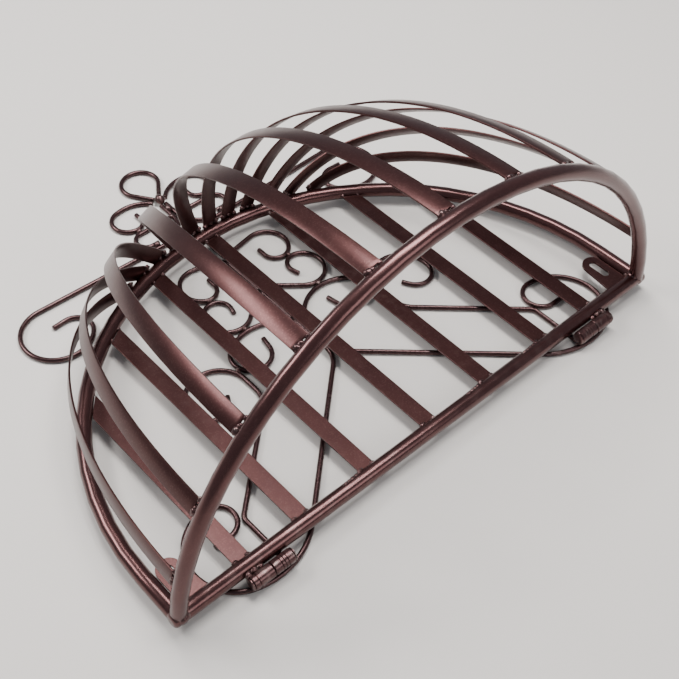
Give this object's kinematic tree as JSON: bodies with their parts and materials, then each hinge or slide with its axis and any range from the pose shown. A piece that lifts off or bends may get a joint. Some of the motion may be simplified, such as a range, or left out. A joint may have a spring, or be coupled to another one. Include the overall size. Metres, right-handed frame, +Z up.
{
  "type": "wine rack",
  "caption": "Half-round wall wine rack of welded bronze-finished metal: flat back of slats, basket of curved ribs under an arched rim, and a scrolled wire crest that folds on two hinges.",
  "frame": {"origin": "centre of the object's box, on the surface that the folded crest's wires rest on, with the rack lying on its back", "axes": "+X along the back rail, from the left hinge to the right one as seen from the open mouth; +Y from the rail towards the crown of the back arch; +Z up from the back panel to the rim"},
  "size_m": [0.468, 0.3958, 0.2214],
  "materials": {
    "tube_bronze": "satin dark bronze with a fine metallic fleck",
    "strap_bronze": "satin dark bronze with a fine metallic fleck",
    "wire_bronze": "satin dark bronze with a fine metallic fleck",
    "barrel_bronze": "satin dark bronze, worn at the edges",
    "pin_bronze": "satin dark bronze, worn at the edges"
  },
  "bodies": {
    "basket": {"back_rail": "tube_bronze", "back_arch": "tube_bronze", "rim_arch": "tube_bronze", "back_slat_1": "strap_bronze", "back_slat_2": "strap_bronze", "back_slat_3": "strap_bronze", "back_slat_4": "strap_bronze", "back_slat_5": "strap_bronze", "back_slat_6": "strap_bronze", "back_slat_7": "strap_bronze", "rib_1": "strap_bronze", "rib_2": "strap_bronze", "rib_3": "strap_bronze", "rib_4": "strap_bronze", "rib_5": "strap_bronze", "rib_6": "strap_bronze", "rib_7": "strap_bronze", "rib_8": "strap_bronze", "rib_9": "strap_bronze", "rib_10": "strap_bronze", "rib_11": "strap_bronze", "hanging_lug_left": "strap_bronze", "hanging_lug_right": "strap_bronze", "rail_knuckle_left": "barrel_bronze", "rail_knuckle_right": "barrel_bronze", "hinge_pin_left": "pin_bronze", "hinge_pin_right": "pin_bronze"},
    "crest": {"crest_outer_wire_left": "wire_bronze", "crest_outer_wire_right": "wire_bronze", "crest_inner_wire_left": "wire_bronze", "crest_inner_wire_right": "wire_bronze", "crest_curl_wire_left": "wire_bronze", "crest_curl_wire_right": "wire_bronze", "crest_hook_wire_left": "wire_bronze", "crest_hook_wire_right": "wire_bronze", "crest_arm_wire_left": "wire_bronze", "crest_arm_wire_right": "wire_bronze", "crest_loop_wire_left": "wire_bronze", "crest_loop_wire_right": "wire_bronze", "crest_lobe_wire_left": "wire_bronze", "crest_lobe_wire_right": "wire_bronze", "crest_top_lobe_wire": "wire_bronze", "crest_stem_wire": "wire_bronze", "crest_knuckle_left": "barrel_bronze", "crest_knuckle_right": "barrel_bronze"}
  },
  "joints": [
    {"name": "crest_fold", "type": "hinge", "parent": "basket", "child": "crest", "pos_m": [0, -0.19254, 0.01013], "axis": [-1, 0, 0], "range_deg": [0, 180]}
  ]
}
